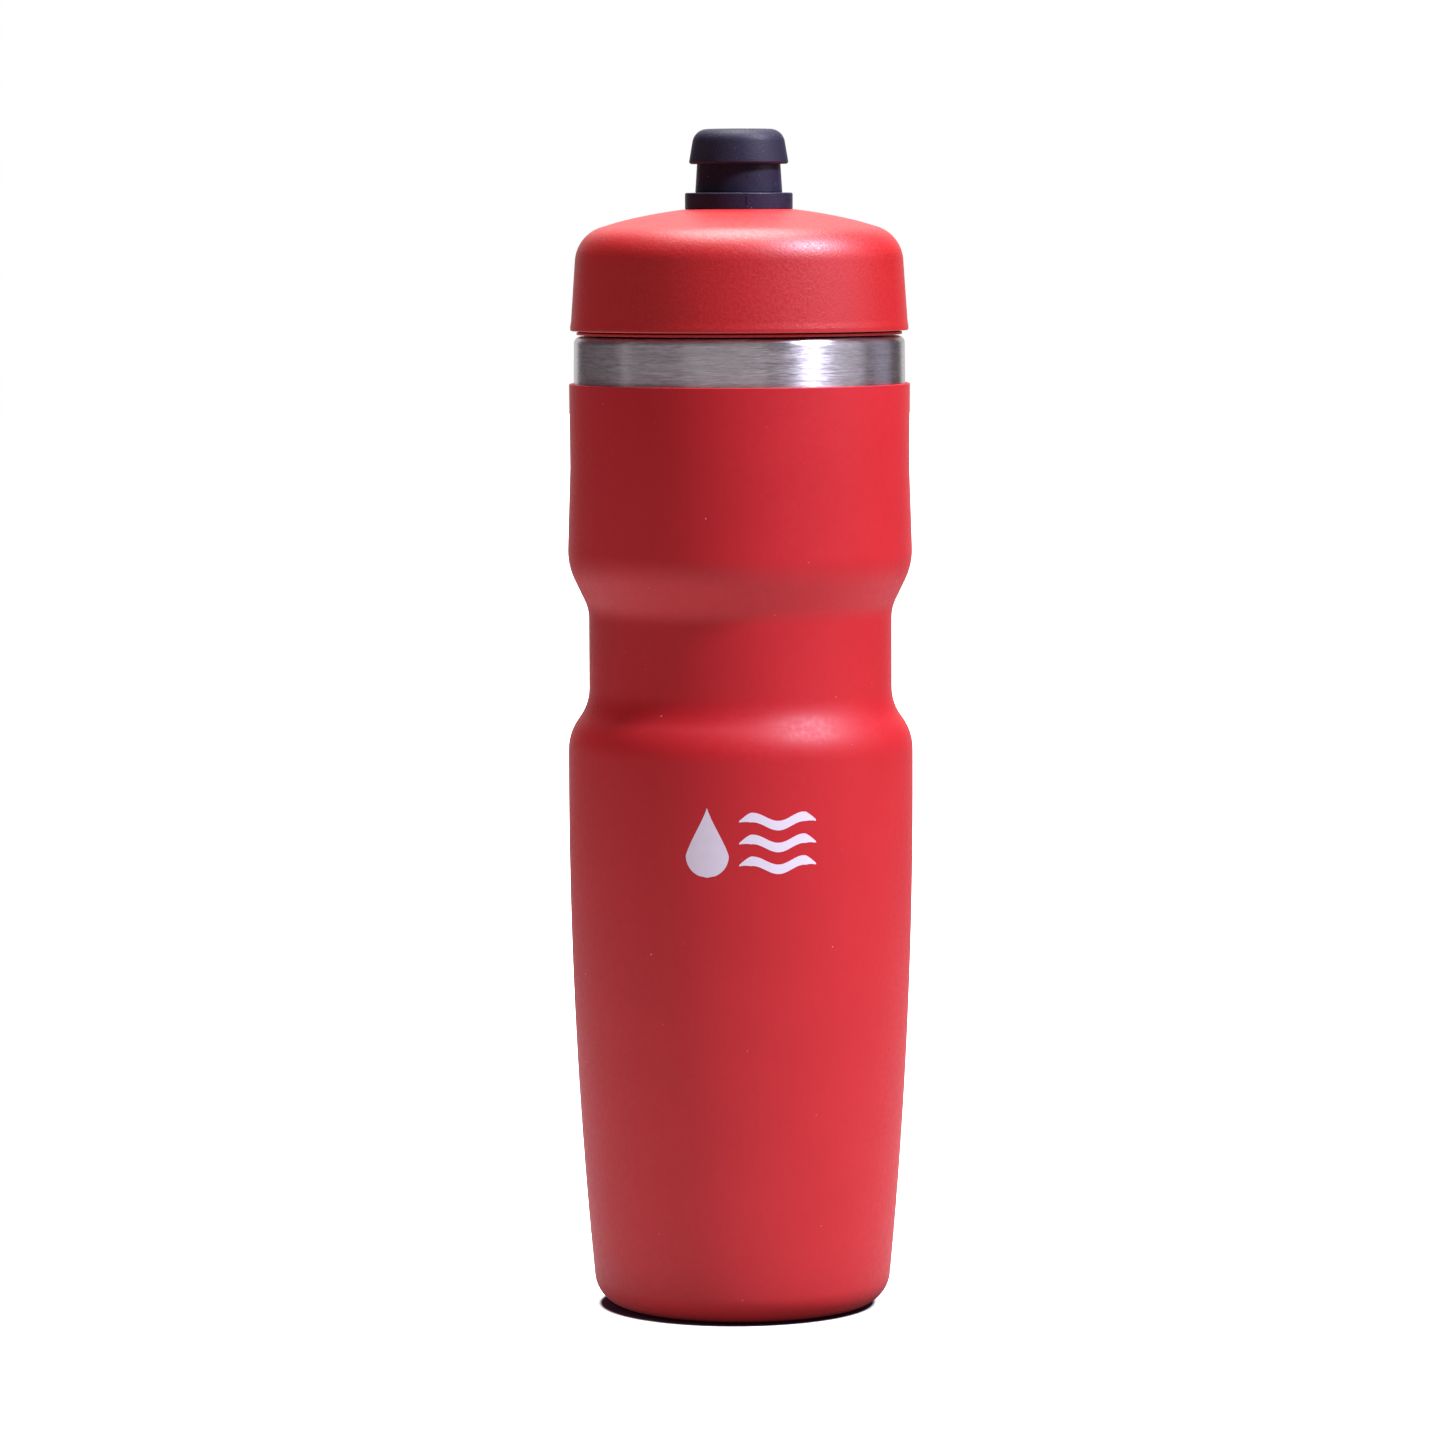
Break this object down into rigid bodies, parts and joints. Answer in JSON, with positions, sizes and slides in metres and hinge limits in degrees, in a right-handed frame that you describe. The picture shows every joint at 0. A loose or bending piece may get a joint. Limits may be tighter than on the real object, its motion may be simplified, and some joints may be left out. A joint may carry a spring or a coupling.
{
  "type": "water bottle",
  "caption": "Insulated steel cycling bottle with a silicone-coated waisted body, a screw cap and a push-pull drinking nozzle.",
  "frame": {"origin": "centre of the base, on the surface that the bottle stands on", "axes": "+Z is the bottle's axis, up from the base to the nozzle; +X and +Y are across it, and -Y is the side with the printed mark"},
  "size_m": [0.074, 0.074, 0.2528],
  "materials": {
    "silicone_red": "matte silicone coat, slightly powdery",
    "plastic_red": "fine spark-eroded moulding texture",
    "steel_brushed": "circumferential brushing",
    "steel_liner": "drawn and electropolished",
    "plastic_black": "satin moulding with a navy tint",
    "silicone_black": "matte silicone",
    "silicone_clear": "milky translucent silicone",
    "glass_solder": "fused glass bead",
    "getter_metal": "sintered metal"
  },
  "bodies": {
    "bottle": {"grip_coat": "silicone_red", "outer_shell": "steel_brushed", "inner_flask": "steel_liner", "base_plate": "steel_liner", "base_cover": "steel_brushed", "vacuum_seal": "glass_solder", "getter": "getter_metal", "getter_cup": "steel_liner"},
    "straw": {"vent_straw": "silicone_clear"},
    "seals": {"mouth_gasket": "silicone_clear", "nozzle_seal": "silicone_black", "liner_seal": "silicone_black"},
    "cap": {"cap_shell": "plastic_red", "cap_liner": "plastic_red", "nozzle_base": "plastic_black", "nozzle_nut": "plastic_black", "stopper_post": "plastic_black", "slider_seal": "silicone_black"},
    "nozzle": {"nozzle_slider": "plastic_black", "mouthpiece": "silicone_black"}
  },
  "joints": [
    {"name": "cap_lift_off", "type": "slide", "parent": "bottle", "child": "straw", "axis": [0, 0, 1], "range_m": [0, 0.11]},
    {"name": "thread_rise", "type": "slide", "parent": "straw", "child": "seals", "axis": [0, 0, 1], "range_m": [0, 0.008]},
    {"name": "cap_turn", "type": "hinge", "parent": "seals", "child": "cap", "pos_m": [0, 0, 0.2099], "axis": [0, 0, 1], "range_deg": [0, 720]},
    {"name": "nozzle_pull", "type": "slide", "parent": "cap", "child": "nozzle", "axis": [0, 0, 1], "range_m": [0, 0.006]}
  ],
  "couplings": [
    {"joint": "thread_rise", "follows": "cap_turn", "m_per_rad": 0.00063662}
  ]
}
